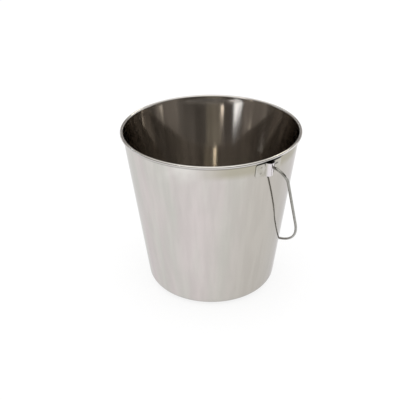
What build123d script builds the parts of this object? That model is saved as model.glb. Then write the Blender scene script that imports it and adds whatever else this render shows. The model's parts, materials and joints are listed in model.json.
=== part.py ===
from build123d import *
from math import atan, atan2, cos, degrees, radians, sin, sqrt
import os

# A tapered stainless steel pail with a wire bail. Millimetres, +Z up. The origin is on the pail's axis, in
# the plane that it stands on. The bail turns about a line parallel to X through both ears, and rests on the
# +Y side of the wall.

# Pail body
RIM_RADIUS = 130.0           # outside of the rolled bead
HEIGHT = 244.5               # floor to the top of the bead
SHEET = 0.8                  # body sheet thickness
BEAD_RADIUS = 2.1            # outside radius of the rolled bead's tube
BEAD_END_ANGLE = -115.0      # where the rolled sheet ends, about the tube's centre from straight outward
BASE_RADIUS = 93.9           # outer wall line carried down to the floor
CORNER_RADIUS = 17.5         # outside of the bottom corner
PANEL_RADIUS = 60.0          # raised panel in the middle of the base
PANEL_RISE = 2.5
PANEL_SLOPE = 8.0            # radial width of the slope up to the panel

# Strap ears
PIVOT_DROP = 15.0            # bail's turning axis below the top of the bead
EAR_DROP = 16.5              # middle of the strap below the top of the bead
EAR_HEIGHT = 20.0            # along the wall
EAR_HALF_WIDTH = 22.0        # round the wall
EAR_SHEET = 1.0
EAR_CORNER = 3.5
BULGE_RADIUS = 6.4           # outside of the half-round raised in the strap
BULGE_OFFSET = 3.2           # the half-round's middle stands this far beside the hole
BULGE_FOOT = 1.0             # blend between the half-round and the flat of the strap
PIN_CLEARANCE = 0.05         # radial, between the wire and its hole
WELD_OFFSET = 13.5           # spot welds: distance beside the half-round's middle
WELD_PITCH = 8.8             # between the two welds of one side
DENT_BALL = 9.0              # radius of the welding tip that left each dent
DENT_DEPTH = 0.3

# Wire bail, drawn in its own plane: u outward along the turning axis, v down along the legs
WIRE_RADIUS = 2.0
REST_ANGLE = 62.3            # bail's plane below horizontal when it lies on the wall
REST_GAP = 0.3               # left between the wire and the wall
SHOULDER_START = 134.0       # u where the turned-in end meets its bend
SHOULDER_RADIUS = 16.0
LEG_SLOPE = 15.9             # the legs lean inward by this angle
TIP_GAP = 0.8                # between the wire's end and the pail's wall
TIP_CHAMFER = 0.4

BEAD_CENTRE = (RIM_RADIUS - BEAD_RADIUS, HEIGHT - BEAD_RADIUS)
WALL_TOP_RADIUS = RIM_RADIUS - 2 * BEAD_RADIUS + SHEET
WALL_TAN = (WALL_TOP_RADIUS - BASE_RADIUS) / BEAD_CENTRE[1]
WALL_ANGLE = atan(WALL_TAN)
PIVOT_Z = HEIGHT - PIVOT_DROP
HALF_TURN = 180.0


def wall_radius(z):
    """Outside of the wall at a height above the floor."""
    return BASE_RADIUS + WALL_TAN * z


def around(centre, radius, angle):
    """A point on a circle in the half-section, by its angle in degrees."""
    return (centre[0] + radius * cos(radians(angle)), centre[1] + radius * sin(radians(angle)))


def half_line(*points):
    return Polyline(*[Vector(r, 0, z) for r, z in points])


def half_arc(centre, radius, start, end):
    points = [around(centre, radius, angle) for angle in (start, (start + end) / 2, end)]
    return ThreePointArc(*[Vector(r, 0, z) for r, z in points])


def make_shell():
    """Base panel, resting ring, corner, tapered wall and rolled bead, revolved from one half-section."""
    tilt = degrees(WALL_ANGLE)
    corner = (wall_radius(CORNER_RADIUS) - CORNER_RADIUS / cos(WALL_ANGLE), CORNER_RADIUS)
    corner_inside = CORNER_RADIUS - SHEET
    bead_inside = BEAD_RADIUS - SHEET
    ring_edge = PANEL_RADIUS + PANEL_SLOPE
    edges = [
        half_line((0, PANEL_RISE), (PANEL_RADIUS, PANEL_RISE), (ring_edge, 0), (corner[0], 0)),
        half_arc(corner, CORNER_RADIUS, -90, -tilt),
        half_line(around(corner, CORNER_RADIUS, -tilt), (WALL_TOP_RADIUS, BEAD_CENTRE[1])),
        half_arc(BEAD_CENTRE, bead_inside, HALF_TURN, BEAD_END_ANGLE),
        half_line(*[around(BEAD_CENTRE, radius, BEAD_END_ANGLE) for radius in (bead_inside, BEAD_RADIUS)]),
        half_arc(BEAD_CENTRE, BEAD_RADIUS, BEAD_END_ANGLE, HALF_TURN),
        half_line(around(BEAD_CENTRE, BEAD_RADIUS, HALF_TURN), around(corner, corner_inside, -tilt)),
        half_arc(corner, corner_inside, -tilt, -90),
        half_line((corner[0], SHEET), (ring_edge, SHEET), (PANEL_RADIUS, PANEL_RISE + SHEET),
                  (0, PANEL_RISE + SHEET), (0, PANEL_RISE)),
    ]
    section = make_face(Curve() + edges)
    return Rot(0, 0, 90) * revolve(section, Axis.Z)


def strap_outline(wall_curve):
    """The ear's cross-section: strap, half-round and their blends, closed inside the wall's surface."""
    strap_curve = wall_curve + EAR_SHEET
    strap_centre = (0, -wall_curve)
    bulge_reach = BULGE_RADIUS + BULGE_FOOT
    blend_y = ((strap_curve + BULGE_FOOT) ** 2 - bulge_reach ** 2 - wall_curve ** 2) / (2 * wall_curve)
    blend = (sqrt(bulge_reach ** 2 - blend_y ** 2), blend_y)
    bulge_turn = degrees(atan2(blend[1], blend[0]))
    strap_turn = degrees(atan2(blend[1] + wall_curve, blend[0]))
    end_turn = 90 - degrees(EAR_HALF_WIDTH / wall_curve)

    end = around(strap_centre, strap_curve, end_turn)
    middle = around(strap_centre, strap_curve, (end_turn + strap_turn) / 2)
    foot = [around(blend, BULGE_FOOT, angle) for angle in
            (strap_turn - HALF_TURN, (strap_turn + bulge_turn) / 2 - HALF_TURN, bulge_turn - HALF_TURN)]
    sunk = around(strap_centre, wall_curve - BULGE_RADIUS, end_turn)
    right = [Vector(*point) for point in (sunk, end, middle, *foot)]
    left = [Vector(-point.X, point.Y) for point in right]
    edges = [ThreePointArc(left[5], Vector(0, BULGE_RADIUS), right[5]), Line(left[0], right[0])]
    for side in (right, left):
        edges += [Line(side[0], side[1]), ThreePointArc(*side[1:4]), ThreePointArc(*side[3:6])]
    return Curve() + edges


def make_ear():
    """A strap with a hollow half-round raised in it, open above and below, and a round hole in one flank."""
    middle_z = HEIGHT - EAR_DROP
    middle_r = wall_radius(middle_z)
    up_the_wall = (sin(WALL_ANGLE), 0, cos(WALL_ANGLE))
    slant = Plane(origin=(middle_r, 0, middle_z), x_dir=(0, -1, 0), z_dir=up_the_wall)
    ear = extrude(slant * make_face(strap_outline(middle_r / cos(WALL_ANGLE))), EAR_HEIGHT / 2, both=True)
    wall = Cone(wall_radius(middle_z - EAR_HEIGHT), wall_radius(middle_z + EAR_HEIGHT), 2 * EAR_HEIGHT)
    ear -= Pos(0, 0, middle_z) * Rot(0, 0, HALF_TURN) * wall
    ear = fillet([edge for edge in ear.edges() if edge.length < 1.5 * EAR_SHEET and
                  abs(edge.center().Y) > 0.9 * EAR_HALF_WIDTH], EAR_CORNER)
    ear -= slant * Cylinder(BULGE_RADIUS - EAR_SHEET, 2 * EAR_HEIGHT)

    side_turn = degrees(WELD_OFFSET / middle_r)
    for along in (-WELD_PITCH / 2, WELD_PITCH / 2):
        ball = slant * Pos(0, EAR_SHEET + DENT_BALL - DENT_DEPTH, along) * Sphere(DENT_BALL)
        for turn in (-side_turn, side_turn):
            ear -= Rot(0, 0, turn) * ball

    offset_turn = degrees(BULGE_OFFSET / middle_r)
    drill = Cylinder(WIRE_RADIUS + PIN_CLEARANCE, 4 * BULGE_RADIUS)
    hole = Pos(middle_r, 0, PIVOT_Z) * Rot(0, 90, 0) * drill
    return Rot(0, 0, -offset_turn) * ear - hole


def make_bail():
    """One wire, lying on the wall: two turned-in ends, shoulders and straight legs, and a round bottom."""
    lean = radians(LEG_SLOPE)
    rest = radians(REST_ANGLE)
    outward = (cos(lean), sin(lean))
    shoulder = (SHOULDER_START, SHOULDER_RADIUS)
    leg_distance = shoulder[0] * outward[0] + shoulder[1] * outward[1] + SHOULDER_RADIUS
    stand_off = (WIRE_RADIUS + REST_GAP) / cos(WALL_ANGLE)
    depth = (wall_radius(PIVOT_Z) + stand_off) / (cos(rest) + WALL_TAN * sin(rest))
    bottom = (0, (depth - leg_distance) / (1 - sin(lean)))
    bottom_radius = depth - bottom[1]
    tip = wall_radius(PIVOT_Z) + TIP_GAP

    def at(side, u, v):
        return Vector(side * u, v * cos(rest), PIVOT_Z - v * sin(rest))

    edges = []
    for side in (1, -1):
        bend = [around(shoulder, SHOULDER_RADIUS, angle) for angle in (-90, (LEG_SLOPE - 90) / 2, LEG_SLOPE)]
        leg_end = around(bottom, bottom_radius, LEG_SLOPE)
        edges += [Line(at(side, tip, 0), at(side, *bend[0])),
                  ThreePointArc(*[at(side, *point) for point in bend]),
                  Line(at(side, *bend[2]), at(side, *leg_end))]
    edges.append(ThreePointArc(*[at(1, *around(bottom, bottom_radius, angle))
                                 for angle in (LEG_SLOPE, 90, HALF_TURN - LEG_SLOPE)]))
    path = Wire(edges)
    wire = sweep(Plane(origin=path @ 0, z_dir=path % 0) * Circle(WIRE_RADIUS), path=path)
    ends = [face.edges() for face in wire.faces() if face.geom_type == GeomType.PLANE]
    return chamfer([edge for end in ends for edge in end], TIP_CHAMFER)


ear_right = make_ear()
parts = {
    "pail_shell": make_shell(),
    "ear_right": ear_right,
    "ear_left": Rot(0, 0, HALF_TURN) * ear_right,
    "bail": make_bail(),
}
os.makedirs("parts", exist_ok=True)
for name, shape in parts.items():
    export_step(shape, f"parts/{name}.step")
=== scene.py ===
import json
import math

import bmesh
import bpy
from mathutils import Matrix, Quaternion, Vector, noise


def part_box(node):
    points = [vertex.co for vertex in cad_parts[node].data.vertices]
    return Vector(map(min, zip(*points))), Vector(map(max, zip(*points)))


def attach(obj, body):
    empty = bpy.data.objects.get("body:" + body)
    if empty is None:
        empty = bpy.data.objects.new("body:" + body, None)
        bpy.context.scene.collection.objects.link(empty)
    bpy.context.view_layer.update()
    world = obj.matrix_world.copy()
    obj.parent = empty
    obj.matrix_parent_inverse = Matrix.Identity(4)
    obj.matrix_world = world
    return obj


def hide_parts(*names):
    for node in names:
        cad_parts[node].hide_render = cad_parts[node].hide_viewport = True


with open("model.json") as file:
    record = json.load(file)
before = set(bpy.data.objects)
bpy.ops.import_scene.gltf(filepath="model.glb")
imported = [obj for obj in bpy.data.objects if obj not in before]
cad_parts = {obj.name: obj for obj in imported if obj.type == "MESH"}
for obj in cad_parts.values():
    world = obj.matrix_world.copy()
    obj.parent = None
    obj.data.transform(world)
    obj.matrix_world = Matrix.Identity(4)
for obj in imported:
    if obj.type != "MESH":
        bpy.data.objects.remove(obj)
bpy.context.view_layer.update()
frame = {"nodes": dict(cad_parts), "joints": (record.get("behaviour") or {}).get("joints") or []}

# Lengths are in metres, angles in degrees unless said otherwise, and colours linear. The rim's radius and the
# pail's height come from the frame.

# Pail body
SHEET = 0.0008
BEAD_RADIUS = 0.0021
BEAD_END_ANGLE = -115.0
BASE_RADIUS = 0.0939         # outer wall line carried down to the floor
WALL_LEAN = 0.1349           # the wall's gain in radius over height, where the ears sit on it
CORNER_RADIUS = 0.0175
PANEL_RADIUS = 0.060
PANEL_RISE = 0.0025
PANEL_SLOPE = 0.008
AROUND = 384                 # mesh steps round the pail
WAVES = ((3.0, 1.5, 0.00005), (11.0, 0.5, 0.00003))    # lobes round the wall, lobes up it, and their depth
OUTSIDE, INSIDE = 0, 1       # material slots of the pail's body
FACING_AXIS = -0.2           # a face belongs to the inside if its normal points less outward than this
FACING_UP = 0.5              # or more upward than this

# Strap ears
EAR_DROP = 0.0165            # middle of the strap below the top of the bead
EAR_HEIGHT = 0.020
EAR_HALF_WIDTH = 0.022
EAR_SHEET = 0.001
EAR_SUNK = 0.00003           # how far the strap's back lies inside the wall's surface
EAR_CORNER = 0.0035
EAR_ROUNDING = 0.0003        # radius on the edges of the pressed sheet
ROUNDING_TURNS = (90, 60, 30, 0)    # where the mesh has its points on that rounding
BULGE_RADIUS = 0.0064        # outside of the half-round
BULGE_OFFSET = 0.0032        # the half-round's middle stands this far beside the hole
BULGE_FOOT = 0.001           # blend between the half-round and the flat of the strap
HOLE_RADIUS = 0.00205
WELD_OFFSET = 0.0135         # spot welds: distance beside the half-round's middle
WELD_PITCH = 0.0088          # between the two welds of one side
DENT_RADIUS = 0.0027
DENT_DEPTH = 0.0003
EAR_GRID = 0.00035           # mesh step on the strap
EAR_SHARP = 50.0             # edges of the strap that turn more than this aren't smoothed over
BULGE_STEPS = 30
FOOT_STEPS = 6
HOLE_STEPS = 96
FAR = 1.0                    # further from the strap's end than anything on it

# Steel of the body: colours of its light and dark bands, its least and most roughness, and its colour at
# grazing angles
OUTSIDE_STEEL = ((0.612, 0.577, 0.562), (0.556, 0.536, 0.514), 0.05, 0.11, (0.8, 0.8, 0.8))
INSIDE_STEEL = ((0.65, 0.622, 0.59), (0.53, 0.505, 0.475), 0.03, 0.08, (1, 1, 1))
BANDS_PART = 0.6             # of the bands in the colour; the rest is clouds
BUMP_DISTANCE = 0.0002
NOISE_SOFT = (0.35, 0.65)    # noise from none of a colour to all of it

# Marks on the steel. Two places go from none of a mark to all of it, and three are a band's least and most
# and its soft edge. Heights are over the floor. Aside is from the plane through both ears, and beside is from
# the middle of the nearer ear's half-round, above 0 on the side of its hole.
WARM_CAST = (1.02, 0.985, 1.0)
COOL_CAST = (0.985, 1.015, 0.985)
# painted shade: the wall darker and warmer towards the plane through both ears, for the dimmer floor it
# reflects there
SIDE_SHADE = (0.498, 0.47, 0.432)
SIDE_SHADE_ASIDE = (0.095, 0.005)
LINE_SHADES = (0.968, 1.022)         # darkest and lightest of the upright lines
# painted highlight: lighter cloudy patches high on the wall, under the bead
BRIGHT = (0.71, 0.69, 0.66)
BRIGHT_HEIGHT = (0.205, 0.236)
BRIGHT_CLOUDS = (0.46, 0.60)
BRIGHT_SHARE = 0.85
HEAT_TINT = (0.40, 0.375, 0.295)     # straw-coloured bloom that welding left round each ear
TINT_HEIGHT = (0.218, 0.231)
TINT_ASIDE = (0.102, 0.055)
TINT_CLOUDS = (0.5, 1.3)             # least and most of it from cloud to cloud
TINT_SHARE = 0.95
# painted highlight: the bead a little lighter than the wall
RIM_SHEEN = (0.61, 0.59, 0.57)
BELOW_RIM = (0.2415, 0.2395)
RIM_SHADE = 0.72                     # just under the bead and on its lower part
RIM_SHADE_HEIGHT = (0.2385, 0.2412, 0.0010)
CREASE_SHADE = 0.12                  # between the ear and the bead
CREASE_HEIGHT = (0.2374, 0.2419, 0.0006)
CREASE_LEFT = (-0.026, -0.004)
CREASE_RIGHT = (0.0235, 0.0205)
BODY_CREASE_SHADE = (0.004, 0.7)            # painted shade in creases, from ambient occlusion: its reach, and how dark it gets
# the same painted shade in the ears' creases: its reach, and how dark it gets
EAR_CREASE_SHADE = (0.003, 0.6)

FLANGE_LIGHT = (0.51, 0.49, 0.45)
FLANGE_DARK = (0.43, 0.41, 0.36)
FLANGE_ROUGHNESS = (0.08, 0.2)
# painted highlight on the half-round
BULGE_HIGHLIGHT = (0.69, 0.655, 0.67)
BULGE_PROUD = (0.0015, 0.0055)       # how far off the wall the strap's part with the painted highlight stands
EDGE_PROUD = (0.00095, 0.0008)       # and its rough edges
EDGE_ROUGHNESS = 0.5
# painted shade in the crease beside the half-round's foot, on its hole's side
FOOT_SHADE_BESIDE = (0.0060, 0.0088, 0.0018)
FOOT_SHADE = 0.75
# a dark dash on the flange beside the half-round, on its hole's side
DASH_BESIDE = (0.0075, 0.0145, 0.0025)
DASH_HEIGHT = (0.2312, 0.2321, 0.0014)
DASH_STRENGTH = 0.6
# painted shadow along the strap's top, under the bead
TOP_SHADE_HEIGHT = (0.2371, 0.2377)
TOP_SHADE = 0.85
WIRE_LIGHT = (0.33, 0.325, 0.30)
WIRE_DARK = (0.25, 0.245, 0.225)
WIRE_ROUGHNESS = (0.07, 0.16)

# The camera looks at the middle of the pail's height, from in front and to the left of the right ear.
LENS = 72.33
CAMERA_DISTANCE = 1.2063
CAMERA_AZIMUTH = 50.5
CAMERA_ELEVATION = 28.69
CAMERA_ROLL = 0.62
AIM_LEFT = 0.01675
AIM_UP = 0.0036

# What the polished steel reflects of the studio, over a full circle: directions in degrees, round from the
# camera's side of the pail and up from the horizon, each soft at its edges.
ROOM = (0.27, 0.26, 0.25)
PANELS = [
    # name, round, half width, edge, lowest, highest, edge, colour
    ("ceiling", 0, 180, 0, 34, 100, 9, (0.16, 0.155, 0.145)),
    ("overhead", 0, 180, 0, 54, 100, 12, (0.65, 0.65, 0.64)),
    ("backdrop", 180, 80, 20, -90, 4, 3, (0.60, 0.60, 0.60)),
    ("sweep", 180, 35, 30, 14, 21, 3, (0.25, 0.24, 0.23)),
    ("far_ceiling", 180, 26, 22, 32, 50, 4, (0.45, 0.44, 0.36)),
    ("camera_side", -12, 22, 16, 5, 27, 4, (0.34, 0.33, 0.27)),
    ("side_window", 104, 14, 20, 3, 10, 2.5, (2.6, 2.6, 2.7)),
    ("softbox", -107, 10, 13, 21.8, 23.3, 0.8, (5.2, 5.8, 6.6)),
    ("left_lamp", -152, 8, 8, 16.9, 17.5, 0.5, (2.6, 2.6, 2.5)),
    ("strip", -44, 4, 3, 23.7, 25.6, 0.3, (8.5, 8.2, 7.8)),
    ("tall_strip", 158, 3, 4, 36.0, 44.0, 0.8, (8.0, 7.8, 6.8)),
]
PALE_BELOW = (0.95, 0.94, 0.93)
HORIZON = (0.02, -0.02)      # radians over which the room goes over into the pale floor
BOUNCES = 16                 # the inside of the pail mirrors itself many times

FLOOR_SIZE = 12.0
FLOOR_GREY = 0.25
FLOOR_GLOW = 0.78
LAMP_SIZE = 1.6
LAMP_WATTS = 4
LAMP_PLACE = (0.2, -0.2, 2.0)


# ---------------------------------------------------------------- meshes

def mesh_object(name, points, faces):
    mesh = bpy.data.meshes.new(name)
    mesh.from_pydata(points, [], faces)
    mesh.validate()
    shape = bmesh.new()
    shape.from_mesh(mesh)
    bmesh.ops.recalc_face_normals(shape, faces=shape.faces)
    shape.to_mesh(mesh)
    shape.free()
    mesh.shade_smooth()
    piece = bpy.data.objects.new(name, mesh)
    bpy.context.scene.collection.objects.link(piece)
    return piece


def arc(centre, radius, start, end, steps):
    """Points of a half-section on an arc, from one angle in degrees to another."""
    angles = [math.radians(start + (end - start) * i / steps) for i in range(steps + 1)]
    return [(centre[0] + radius * math.cos(a), centre[1] + radius * math.sin(a)) for a in angles]


def straight(start, end, steps):
    """Points strictly between two points of a half-section."""
    return [tuple(a + (b - a) * i / steps for a, b in zip(start, end)) for i in range(1, steps)]


def ease(start, end, steps):
    """A soft S from one point to another, level at both ends."""
    points = []
    for i in range(steps + 1):
        t = i / steps
        rise = t * t * (3 - 2 * t)
        points.append((start[0] + (end[0] - start[0]) * t, start[1] + (end[1] - start[1]) * rise))
    return points


def shell_section():
    """The body's closed half-section, from the middle of the underside round the bead to the middle inside,
    and the heights between which the wall may wander."""
    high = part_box("pail_shell")[1]
    bead = (high.x - BEAD_RADIUS, high.z - BEAD_RADIUS)
    top = (bead[0] - BEAD_RADIUS + SHEET, bead[1])
    slope = math.atan((top[0] - BASE_RADIUS) / top[1])
    tilt = math.degrees(slope)
    corner_middle = BASE_RADIUS + math.tan(slope) * CORNER_RADIUS - CORNER_RADIUS / math.cos(slope)
    corner = (corner_middle, CORNER_RADIUS)
    ring = PANEL_RADIUS + PANEL_SLOPE

    outer_corner = arc(corner, CORNER_RADIUS, -90, -tilt, 24)
    outside = [(0.0, PANEL_RISE)] + straight((0, PANEL_RISE), (PANEL_RADIUS, PANEL_RISE), 6)
    outside += ease((PANEL_RADIUS, PANEL_RISE), (ring, 0.0), 8) + straight((ring, 0), outer_corner[0], 4)
    outside += outer_corner + straight(outer_corner[-1], top, 48) + [top]
    curl = arc(bead, BEAD_RADIUS - SHEET, 180, BEAD_END_ANGLE, 24)[1:]
    lip = [(bead[0] + (BEAD_RADIUS - SHEET / 2) * math.cos(math.radians(BEAD_END_ANGLE)) - SHEET / 8,
            bead[1] + (BEAD_RADIUS - SHEET / 2) * math.sin(math.radians(BEAD_END_ANGLE)))]
    curl += lip + arc(bead, BEAD_RADIUS, BEAD_END_ANGLE, 180, 32)
    inner_corner = arc(corner, CORNER_RADIUS - SHEET, -tilt, -90, 20)
    inside = straight(curl[-1], inner_corner[0], 48) + inner_corner
    inside += straight(inner_corner[-1], (ring, SHEET), 4)
    inside += ease((ring, SHEET), (PANEL_RADIUS, PANEL_RISE + SHEET), 8)
    inside += straight((PANEL_RADIUS, PANEL_RISE + SHEET), (0, PANEL_RISE + SHEET), 6)
    inside.append((0.0, PANEL_RISE + SHEET))
    return outside + curl + inside, corner[1], top[1]


def wander(angle, height, low, high):
    """How far the wall stands off a true cone: slow lobes round it, none at the corner and the rim."""
    share = min(1.0, max(0.0, (height - low) / (high - low)))
    off = 0.0
    for round_it, up_it, depth in WAVES:
        point = Vector((round_it * math.cos(angle), round_it * math.sin(angle), up_it * share))
        off += depth * noise.noise(point)
    return off * 4 * share * (1 - share)


def make_shell():
    section, low, high = shell_section()
    last = len(section) - 1
    points = [Vector((0, 0, section[0][1])), Vector((0, 0, section[last][1]))]
    for i in range(AROUND):
        angle = 2 * math.pi * i / AROUND
        for r, z in section[1:last]:
            r += wander(angle, z, low, high)
            points.append(Vector((r * math.cos(angle), r * math.sin(angle), z)))
    ring = last - 1
    faces = []
    for i in range(AROUND):
        here, there = 2 + i * ring, 2 + (i + 1) % AROUND * ring
        faces.append((0, there, here))
        faces += [(here + k, there + k, there + k + 1, here + k + 1) for k in range(ring - 1)]
        faces.append((here + ring - 1, there + ring - 1, 1))
    return mesh_object("pail_body", points, faces)


def rounded_steps(length, step):
    """Distances from 0 to a length: close together in the rounding at both ends, even between them."""
    near = [EAR_ROUNDING * (1 - math.sin(math.radians(a))) for a in ROUNDING_TURNS]
    count = math.ceil((length - 2 * EAR_ROUNDING) / step)
    middle = [EAR_ROUNDING + (length - 2 * EAR_ROUNDING) * i / count for i in range(1, count)]
    return near + middle + [length - d for d in reversed(near)]


def ear_outline(wall_curve, along):
    """Half of the ear's section, from the crown of the half-round to the strap's end: for each step the point
    and outward direction on the sheet's outside, the point on its inside and the distance left to the end."""
    strap_curve = wall_curve + EAR_SHEET
    hollow = BULGE_RADIUS - EAR_SHEET
    reach = BULGE_RADIUS + BULGE_FOOT
    foot_y = ((strap_curve + BULGE_FOOT) ** 2 - reach ** 2 - wall_curve ** 2) / (2 * wall_curve)
    foot = Vector((math.sqrt(reach ** 2 - foot_y ** 2), foot_y))
    bulge_turn = math.atan2(foot.y, foot.x)
    strap_turn = math.atan2(foot.y + wall_curve, foot.x)
    centre = Vector((0, -wall_curve))
    hollow_turn = math.pi / 2 - hollow / wall_curve
    past_corner = max(0.0, abs(along) - EAR_HEIGHT / 2 + EAR_CORNER)
    half_width = EAR_HALF_WIDTH - EAR_CORNER + math.sqrt(EAR_CORNER ** 2 - past_corner ** 2)
    end_turn = math.pi / 2 - half_width / wall_curve

    def way(turn):
        return Vector((math.cos(turn), math.sin(turn)))

    outline = []
    for i in range(BULGE_STEPS):
        turn = math.pi / 2 + (bulge_turn - math.pi / 2) * i / BULGE_STEPS
        inner = math.pi / 2 * (1 - i / BULGE_STEPS)
        outline.append((way(turn) * BULGE_RADIUS, way(turn), way(inner) * hollow, FAR))
    for i in range(FOOT_STEPS):
        turn = bulge_turn + (strap_turn - bulge_turn) * i / FOOT_STEPS
        inner = hollow_turn + (strap_turn - hollow_turn) * i / FOOT_STEPS
        back = centre + way(inner) * (wall_curve - EAR_SUNK)
        outline.append((foot - way(turn) * BULGE_FOOT, way(turn), back, FAR))
    length = (strap_turn - end_turn) * strap_curve
    from_foot = rounded_steps(EAR_HALF_WIDTH - foot.x, EAR_GRID)
    steps = from_foot[len(ROUNDING_TURNS) - 1:]
    for d in steps:
        share = (d - steps[0]) / (steps[-1] - steps[0])
        turn = strap_turn + (end_turn - strap_turn) * share
        outline.append((centre + way(turn) * strap_curve, way(turn),
                        centre + way(turn) * (wall_curve - EAR_SUNK), length * (1 - share)))
    return outline


def ear_sink(point, along, to_side):
    """How far the ear's outside lies below the plain sheet: its rounded edges and the spot welds' dents."""
    to_end = EAR_HEIGHT / 2 - abs(along)
    into = [max(0.0, EAR_ROUNDING - d) for d in (to_end, to_side)]
    sink = EAR_ROUNDING - math.sqrt(max(0.0, EAR_ROUNDING ** 2 - into[0] ** 2 - into[1] ** 2))
    off = math.hypot(abs(point.x) - WELD_OFFSET, abs(along) - WELD_PITCH / 2) / DENT_RADIUS
    return sink + DENT_DEPTH * max(0.0, 1 - off * off) ** 2


def make_ear(name, turn, pivot):
    """A strap with a hollow half-round raised in it, open above and below, and a round hole in one flank."""
    slope = math.atan(WALL_LEAN)
    middle_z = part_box("pail_shell")[1].z - EAR_DROP
    middle_r = BASE_RADIUS + WALL_LEAN * middle_z
    middle = Vector((middle_r, 0, middle_z))
    up = Vector((math.sin(slope), 0, math.cos(slope)))
    out = Vector((math.cos(slope), 0, -math.sin(slope)))
    rows = []
    for d in rounded_steps(EAR_HEIGHT, EAR_GRID):
        along = d - EAR_HEIGHT / 2
        outer, inner = [], []
        for side in (-1, 1):
            line = []
            for point, way, back, to_side in ear_outline(middle_r / math.cos(slope), along):
                face = point - way * ear_sink(point, along, to_side)
                line.append([middle + up * along + out * p.y + Vector((0, -side * p.x, 0))
                             for p in (face, back)])
            line = line[::-1] if side < 0 else line[1:]
            outer += [pair[0] for pair in line]
            inner += [pair[1] for pair in line]
        rows.append(outer + inner[::-1])
    points = [point for row in rows for point in row]
    around = len(rows[0])
    faces = []
    for j in range(len(rows) - 1):
        for i in range(around):
            k = (i + 1) % around
            faces.append((j * around + i, j * around + k, (j + 1) * around + k, (j + 1) * around + i))
    for base in (0, (len(rows) - 1) * around):
        faces += [(base + i, base + i + 1, base + around - 2 - i, base + around - 1 - i)
                  for i in range(around // 2 - 1)]
    ear = mesh_object(name, points, faces)
    ear.data.transform(Matrix.Rotation(-BULGE_OFFSET / middle_r, 4, "Z"))
    drill_hole(ear, Vector((middle_r, 0, pivot.z)))
    ear.data.set_sharp_from_angle(angle=math.radians(EAR_SHARP))
    ear.data.transform(Matrix.Rotation(turn, 4, "Z"))
    return ear


def drill_hole(ear, place):
    """Cuts the hole for the bail's end, along X, through the half-round only."""
    bpy.ops.mesh.primitive_cylinder_add(vertices=HOLE_STEPS, radius=HOLE_RADIUS, depth=4 * BULGE_RADIUS,
                                        location=place, rotation=(0, math.pi / 2, 0))
    drill = bpy.context.object
    cut = ear.modifiers.new("hole", "BOOLEAN")
    cut.operation = "DIFFERENCE"
    cut.solver = "EXACT"
    cut.object = drill
    solid = ear.evaluated_get(bpy.context.evaluated_depsgraph_get())
    mesh = bpy.data.meshes.new_from_object(solid)
    ear.modifiers.clear()
    ear.data = mesh
    bpy.data.objects.remove(drill)
    mesh.shade_smooth()


def mark_inside(shell, top):
    """Gives the inner material to the faces that look at the pail's axis or up at its mouth."""
    for face in shell.data.polygons:
        middle, normal = face.center, face.normal
        radial = (middle.x * normal.x + middle.y * normal.y) / max(1e-9, math.hypot(middle.x, middle.y))
        inner = (radial < FACING_AXIS or normal.z > FACING_UP) and middle.z < top
        face.material_index = INSIDE if inner else OUTSIDE


# ---------------------------------------------------------------- nodes

def node(tree, kind, inputs=None, **settings):
    """A shader node with its settings, and each input linked from a socket or set to a value."""
    made = tree.nodes.new("ShaderNode" + kind)
    for name, value in settings.items():
        setattr(made, name, value)
    for name, value in (inputs or {}).items():
        if isinstance(value, bpy.types.NodeSocket):
            tree.links.new(value, made.inputs[name])
        else:
            made.inputs[name].default_value = value
    return made


def calc(tree, operation, first, second=0.0):
    return node(tree, "Math", {0: first, 1: second}, operation=operation).outputs["Value"]


def product(tree, share, *more):
    for other in more:
        share = calc(tree, "MULTIPLY", share, other)
    return share


def soft_step(tree, value, none, full):
    """0 up to one value and 1 from the other on, or the other way round, with a soft S between."""
    return node(tree, "MapRange", {"Value": value, "From Min": none, "From Max": full},
                interpolation_type="SMOOTHSTEP").outputs["Result"]


def band(tree, value, low, high, edge):
    """1 between two values and 0 outside them, soft over an edge on both sides."""
    return product(tree, soft_step(tree, value, low - edge, low), soft_step(tree, value, high + edge, high))


def beside_bulge(tree, place):
    """How far a place lies beside the middle of the nearer ear's half-round, above 0 on its hole's side."""
    side = calc(tree, "SIGN", place.outputs["X"])
    return calc(tree, "ADD", product(tree, place.outputs["Y"], side), BULGE_OFFSET)


def ranged(tree, value, low, high):
    return node(tree, "MapRange", {"Value": value, "To Min": low, "To Max": high}).outputs["Result"]


def streaks(tree, across, along, detail=2.0, offset=0.0):
    """Noise stretched up the pail: its grains per metre across the streaks and along them."""
    place = node(tree, "TexCoord").outputs["Object"]
    stretched = node(tree, "Mapping", {"Vector": place, "Location": (offset, offset, offset),
                                       "Scale": (across, across, along)}).outputs["Vector"]
    return node(tree, "TexNoise", {"Vector": stretched, "Scale": 1.0, "Detail": detail}).outputs["Fac"]


def blend_colour(tree, share, first, second):
    mix = node(tree, "Mix", {"Factor": share}, data_type="RGBA")
    for socket, colour in ((mix.inputs[6], first), (mix.inputs[7], second)):
        if isinstance(colour, bpy.types.NodeSocket):
            tree.links.new(colour, socket)
        else:
            socket.default_value = (*colour, 1)
    return mix.outputs[2]


# ---------------------------------------------------------------- materials

def new_material(name):
    material = bpy.data.materials.new(name)
    material.use_nodes = True
    return material, material.node_tree, material.node_tree.nodes["Principled BSDF"]


def connect(tree, shader, **sockets):
    for name, value in sockets.items():
        tree.links.new(value, shader.inputs[name.replace("_", " ")])


def times(tree, colour, share):
    return node(tree, "VectorMath", {0: colour, 1: share}, operation="MULTIPLY").outputs["Vector"]


def crease_shaded(tree, colour, reach, darkest):
    """A colour, darker in creases: painted shade from ambient occlusion."""
    open_share = node(tree, "AmbientOcclusion", {"Distance": reach}, samples=8).outputs["AO"]
    return times(tree, colour, ranged(tree, open_share, darkest, 1.0))


def bumped(tree, height, strength):
    bump = node(tree, "Bump", {"Strength": strength, "Distance": BUMP_DISTANCE, "Height": height})
    return bump.outputs["Normal"]


def object_place(tree):
    return node(tree, "SeparateXYZ", {"Vector": node(tree, "TexCoord").outputs["Object"]})


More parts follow.
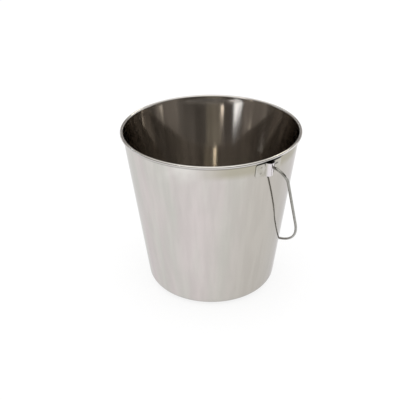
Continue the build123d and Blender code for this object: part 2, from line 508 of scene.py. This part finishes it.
def drawn_steel(name, light, dark, smooth, rough, edge):
    """Polished sheet: bands up the wall from drawing, clouds from the polishing wheel, faint fine lines."""
    material, tree, shader = new_material(name)
    shader.inputs["Metallic"].default_value = 1.0
    shader.inputs["Specular Tint"].default_value = (*edge, 1)
    bands = streaks(tree, 24, 1.2)
    clouds = streaks(tree, 13, 11, detail=3, offset=4.0)
    share = calc(tree, "ADD", product(tree, bands, BANDS_PART), product(tree, clouds, 1 - BANDS_PART))
    colour = blend_colour(tree, soft_step(tree, share, 0.38, 0.62), light, dark)
    fine = streaks(tree, 700, 40, detail=1, offset=2.0)
    connect(tree, shader, Base_Color=colour, Roughness=ranged(tree, clouds, smooth, rough),
            Normal=bumped(tree, fine, 0.04))
    return material, tree, shader, colour, clouds


def outside_steel():
    """The body's outside: also a warm or cool cast from band to band, the bloom welding left round the ears,
    and painted highlights and shade.
    """
    material, tree, shader, colour, clouds = drawn_steel("pail_steel", *OUTSIDE_STEEL)
    cast = soft_step(tree, streaks(tree, 31, 2.5, offset=9.0), *NOISE_SOFT)
    colour = times(tree, colour, blend_colour(tree, cast, WARM_CAST, COOL_CAST))
    place = object_place(tree)
    height = place.outputs["Z"]
    aside = calc(tree, "ABSOLUTE", place.outputs["Y"])
    # painted shade towards the plane through both ears
    colour = blend_colour(tree, soft_step(tree, aside, *SIDE_SHADE_ASIDE), colour, SIDE_SHADE)
    lines = soft_step(tree, streaks(tree, 95, 2.2, offset=17.0), *NOISE_SOFT)
    colour = times(tree, colour, ranged(tree, lines, *LINE_SHADES))
    # painted highlight: lighter cloudy patches high on the wall
    painted_sheen = product(tree, soft_step(tree, height, *BRIGHT_HEIGHT), soft_step(tree, clouds, *BRIGHT_CLOUDS),
                       BRIGHT_SHARE)
    colour = blend_colour(tree, painted_sheen, colour, BRIGHT)
    below_bead = soft_step(tree, height, *BELOW_RIM)
    tint = product(tree, soft_step(tree, aside, *TINT_ASIDE), soft_step(tree, height, *TINT_HEIGHT),
                   below_bead, ranged(tree, clouds, *TINT_CLOUDS), TINT_SHARE)
    colour = blend_colour(tree, tint, colour, HEAT_TINT)
    # painted highlight on the bead
    colour = blend_colour(tree, below_bead, RIM_SHEEN, colour)
    colour = times(tree, colour, ranged(tree, band(tree, height, *RIM_SHADE_HEIGHT), 1.0, RIM_SHADE))
    beside = beside_bulge(tree, place)
    crease = product(tree, band(tree, height, *CREASE_HEIGHT), soft_step(tree, beside, *CREASE_LEFT),
                     soft_step(tree, beside, *CREASE_RIGHT))
    colour = times(tree, colour, ranged(tree, crease, 1.0, CREASE_SHADE))
    # painted shade in creases
    connect(tree, shader, Base_Color=crease_shaded(tree, colour, *BODY_CREASE_SHADE))
    return material


def ear_material():
    """Pressed steel: dull welded flanges with a dark dash, painted shade at the half-round's foot and along
    the strap's top, and a painted highlight on the half-round.
    """
    material, tree, shader = new_material("ear_steel")
    shader.inputs["Metallic"].default_value = 1.0
    place = object_place(tree)
    height, beside = place.outputs["Z"], beside_bulge(tree, place)
    out = calc(tree, "SQRT", calc(tree, "ADD", calc(tree, "POWER", place.outputs["X"], 2.0),
                                  calc(tree, "POWER", place.outputs["Y"], 2.0)))
    proud = calc(tree, "SUBTRACT", out, product(tree, height, WALL_LEAN))
    # where the painted highlight on the half-round goes, and the edges that are rougher
    highlit, edge = [soft_step(tree, proud, BASE_RADIUS + none, BASE_RADIUS + full)
                    for none, full in (BULGE_PROUD, EDGE_PROUD)]
    clouds = streaks(tree, 120, 60, detail=3)
    flange = blend_colour(tree, soft_step(tree, clouds, *NOISE_SOFT), FLANGE_LIGHT, FLANGE_DARK)
    # painted shade beside the half-round's foot
    foot = product(tree, band(tree, beside, *FOOT_SHADE_BESIDE), FOOT_SHADE)
    dash = product(tree, band(tree, beside, *DASH_BESIDE), band(tree, height, *DASH_HEIGHT),
                     DASH_STRENGTH)
    # painted shadow along the strap's top
    top = product(tree, soft_step(tree, height, *TOP_SHADE_HEIGHT), TOP_SHADE)
    # painted shade at the foot and the top, and the dark dash, darken the flange
    shade_and_dash = calc(tree, "MAXIMUM", calc(tree, "MAXIMUM", foot, dash), top)
    flange = times(tree, flange, calc(tree, "SUBTRACT", 1.0, shade_and_dash))
    # painted highlight on the half-round
    colour = blend_colour(tree, highlit, flange, BULGE_HIGHLIGHT)
    rough = calc(tree, "ADD", ranged(tree, clouds, *FLANGE_ROUGHNESS), product(tree, edge, EDGE_ROUGHNESS))
    # painted shade in creases
    connect(tree, shader, Base_Color=crease_shaded(tree, colour, *EAR_CREASE_SHADE), Roughness=rough,
            Normal=bumped(tree, clouds, 0.06))
    return material


def wire_material():
    """Drawn wire, duller than the sheet, with scuffs along it."""
    material, tree, shader = new_material("bail_wire")
    shader.inputs["Metallic"].default_value = 1.0
    place = node(tree, "TexCoord").outputs["Object"]
    scuffs = node(tree, "TexNoise", {"Vector": place, "Scale": 160.0, "Detail": 3.0}).outputs["Fac"]
    colour = blend_colour(tree, soft_step(tree, scuffs, 0.35, 0.7), WIRE_LIGHT, WIRE_DARK)
    connect(tree, shader, Base_Color=colour, Roughness=ranged(tree, scuffs, *WIRE_ROUGHNESS),
            Normal=bumped(tree, scuffs, 0.04))
    return material


def dress(piece, *materials):
    piece.data.materials.clear()
    for material in materials:
        piece.data.materials.append(material)


# ---------------------------------------------------------------- studio

def make_floor():
    bpy.ops.mesh.primitive_plane_add(size=FLOOR_SIZE)
    floor = bpy.context.object
    floor.name = "floor"
    material, _, shader = new_material("floor_paint")
    shader.inputs["Base Color"].default_value = (FLOOR_GREY, FLOOR_GREY, FLOOR_GREY, 1)
    shader.inputs["Roughness"].default_value = 1.0
    shader.inputs["Specular IOR Level"].default_value = 0.0
    shader.inputs["Emission Color"].default_value = (1, 1, 1, 1)
    shader.inputs["Emission Strength"].default_value = FLOOR_GLOW
    dress(floor, material)


def panel_mask(tree, direction, elevation, middle, half_width, side_edge, low, high, level_edge):
    """1 in the directions that one panel of the studio fills, soft at its edges."""
    level = band(tree, elevation, *[math.radians(v) for v in (low, high, level_edge)])
    if half_width >= 180:
        return level
    turned = node(tree, "VectorRotate", {"Vector": direction, "Axis": (0, 0, 1),
                                         "Angle": math.radians(90 - CAMERA_AZIMUTH - middle)})
    flat = node(tree, "SeparateXYZ", {"Vector": turned.outputs["Vector"]})
    off = calc(tree, "ABSOLUTE", calc(tree, "ARCTAN2", flat.outputs["Y"], flat.outputs["X"]))
    side = soft_step(tree, off, *[math.radians(v) for v in (half_width + side_edge, half_width)])
    return product(tree, level, side)


def make_world():
    """Even pale light on whatever is matt, and for reflections a dim room with soft panels in it."""
    world = bpy.data.worlds.new("studio")
    bpy.context.scene.world = world
    world.use_nodes = True
    tree = world.node_tree
    tree.nodes.clear()
    direction = node(tree, "TexCoord").outputs["Generated"]
    height = node(tree, "SeparateXYZ", {"Vector": direction}).outputs["Z"]
    elevation = calc(tree, "ARCSINE", height)
    below = node(tree, "MapRange", {"Value": elevation, "From Min": HORIZON[0], "From Max": HORIZON[1]})
    room = blend_colour(tree, below.outputs["Result"], ROOM, PALE_BELOW)
    for name, *span, colour in PANELS:
        mask = panel_mask(tree, direction, elevation, *span)
        lit = node(tree, "VectorMath", {0: colour, 1: mask, 2: room}, operation="MULTIPLY_ADD")
        lit.label = name
        room = lit.outputs["Vector"]
    pale = node(tree, "Background", {"Color": (1, 1, 1, 1), "Strength": 1.0})
    studio = node(tree, "Background", {"Color": room, "Strength": 1.0})
    glossy = node(tree, "LightPath").outputs["Is Glossy Ray"]
    mix = node(tree, "MixShader", {0: glossy, 1: pale.outputs["Background"], 2: studio.outputs["Background"]})
    node(tree, "OutputWorld", {"Surface": mix.outputs["Shader"]})


def make_lamp():
    """One large soft lamp above the pail, pointing at its base."""
    light = bpy.data.lights.new("overhead", "AREA")
    light.shape = "SQUARE"
    light.size = LAMP_SIZE
    light.energy = LAMP_WATTS
    lamp = bpy.data.objects.new("overhead", light)
    lamp.location = LAMP_PLACE
    lamp.rotation_euler = (-Vector(LAMP_PLACE)).to_track_quat("-Z", "Y").to_euler()
    bpy.context.scene.collection.objects.link(lamp)


def make_camera():
    azimuth, elevation = math.radians(CAMERA_AZIMUTH), math.radians(CAMERA_ELEVATION)
    back = Vector((math.sin(azimuth) * math.cos(elevation), -math.cos(azimuth) * math.cos(elevation),
                   math.sin(elevation)))
    turn = (-back).to_track_quat("-Z", "Y")
    right, up = turn @ Vector((1, 0, 0)), turn @ Vector((0, 1, 0))
    target = Vector((0, 0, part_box("pail_shell")[1].z / 2))
    place = target + back * CAMERA_DISTANCE
    aim = target - right * AIM_LEFT + up * AIM_UP
    data = bpy.data.cameras.new("camera")
    data.lens = LENS
    camera = bpy.data.objects.new("camera", data)
    camera.location = place
    camera.rotation_mode = "QUATERNION"
    level = (aim - place).to_track_quat("-Z", "Y")
    camera.rotation_quaternion = level @ Quaternion((0, 0, 1), -math.radians(CAMERA_ROLL))
    bpy.context.scene.collection.objects.link(camera)
    bpy.context.scene.camera = camera


make_camera()
make_floor()
make_world()
make_lamp()
bpy.context.scene.view_settings.view_transform = "Standard"
bpy.context.scene.cycles.max_bounces = BOUNCES
bpy.context.scene.cycles.glossy_bounces = BOUNCES

shell = make_shell()
dress(shell, outside_steel(), drawn_steel("pail_steel_inside", *INSIDE_STEEL)[0])
mark_inside(shell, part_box("pail_shell")[1].z - BEAD_RADIUS)
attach(shell, "pail")
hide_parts("pail_shell")
pivot = Vector(frame["joints"][0]["pos_m"])
ear_steel = ear_material()
for name, turn in (("ear_right", 0.0), ("ear_left", math.pi)):
    ear = make_ear(name + "_pressed", turn, pivot)
    dress(ear, ear_steel)
    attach(ear, "pail")
    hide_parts(name)
dress(frame["nodes"]["bail"], wire_material())
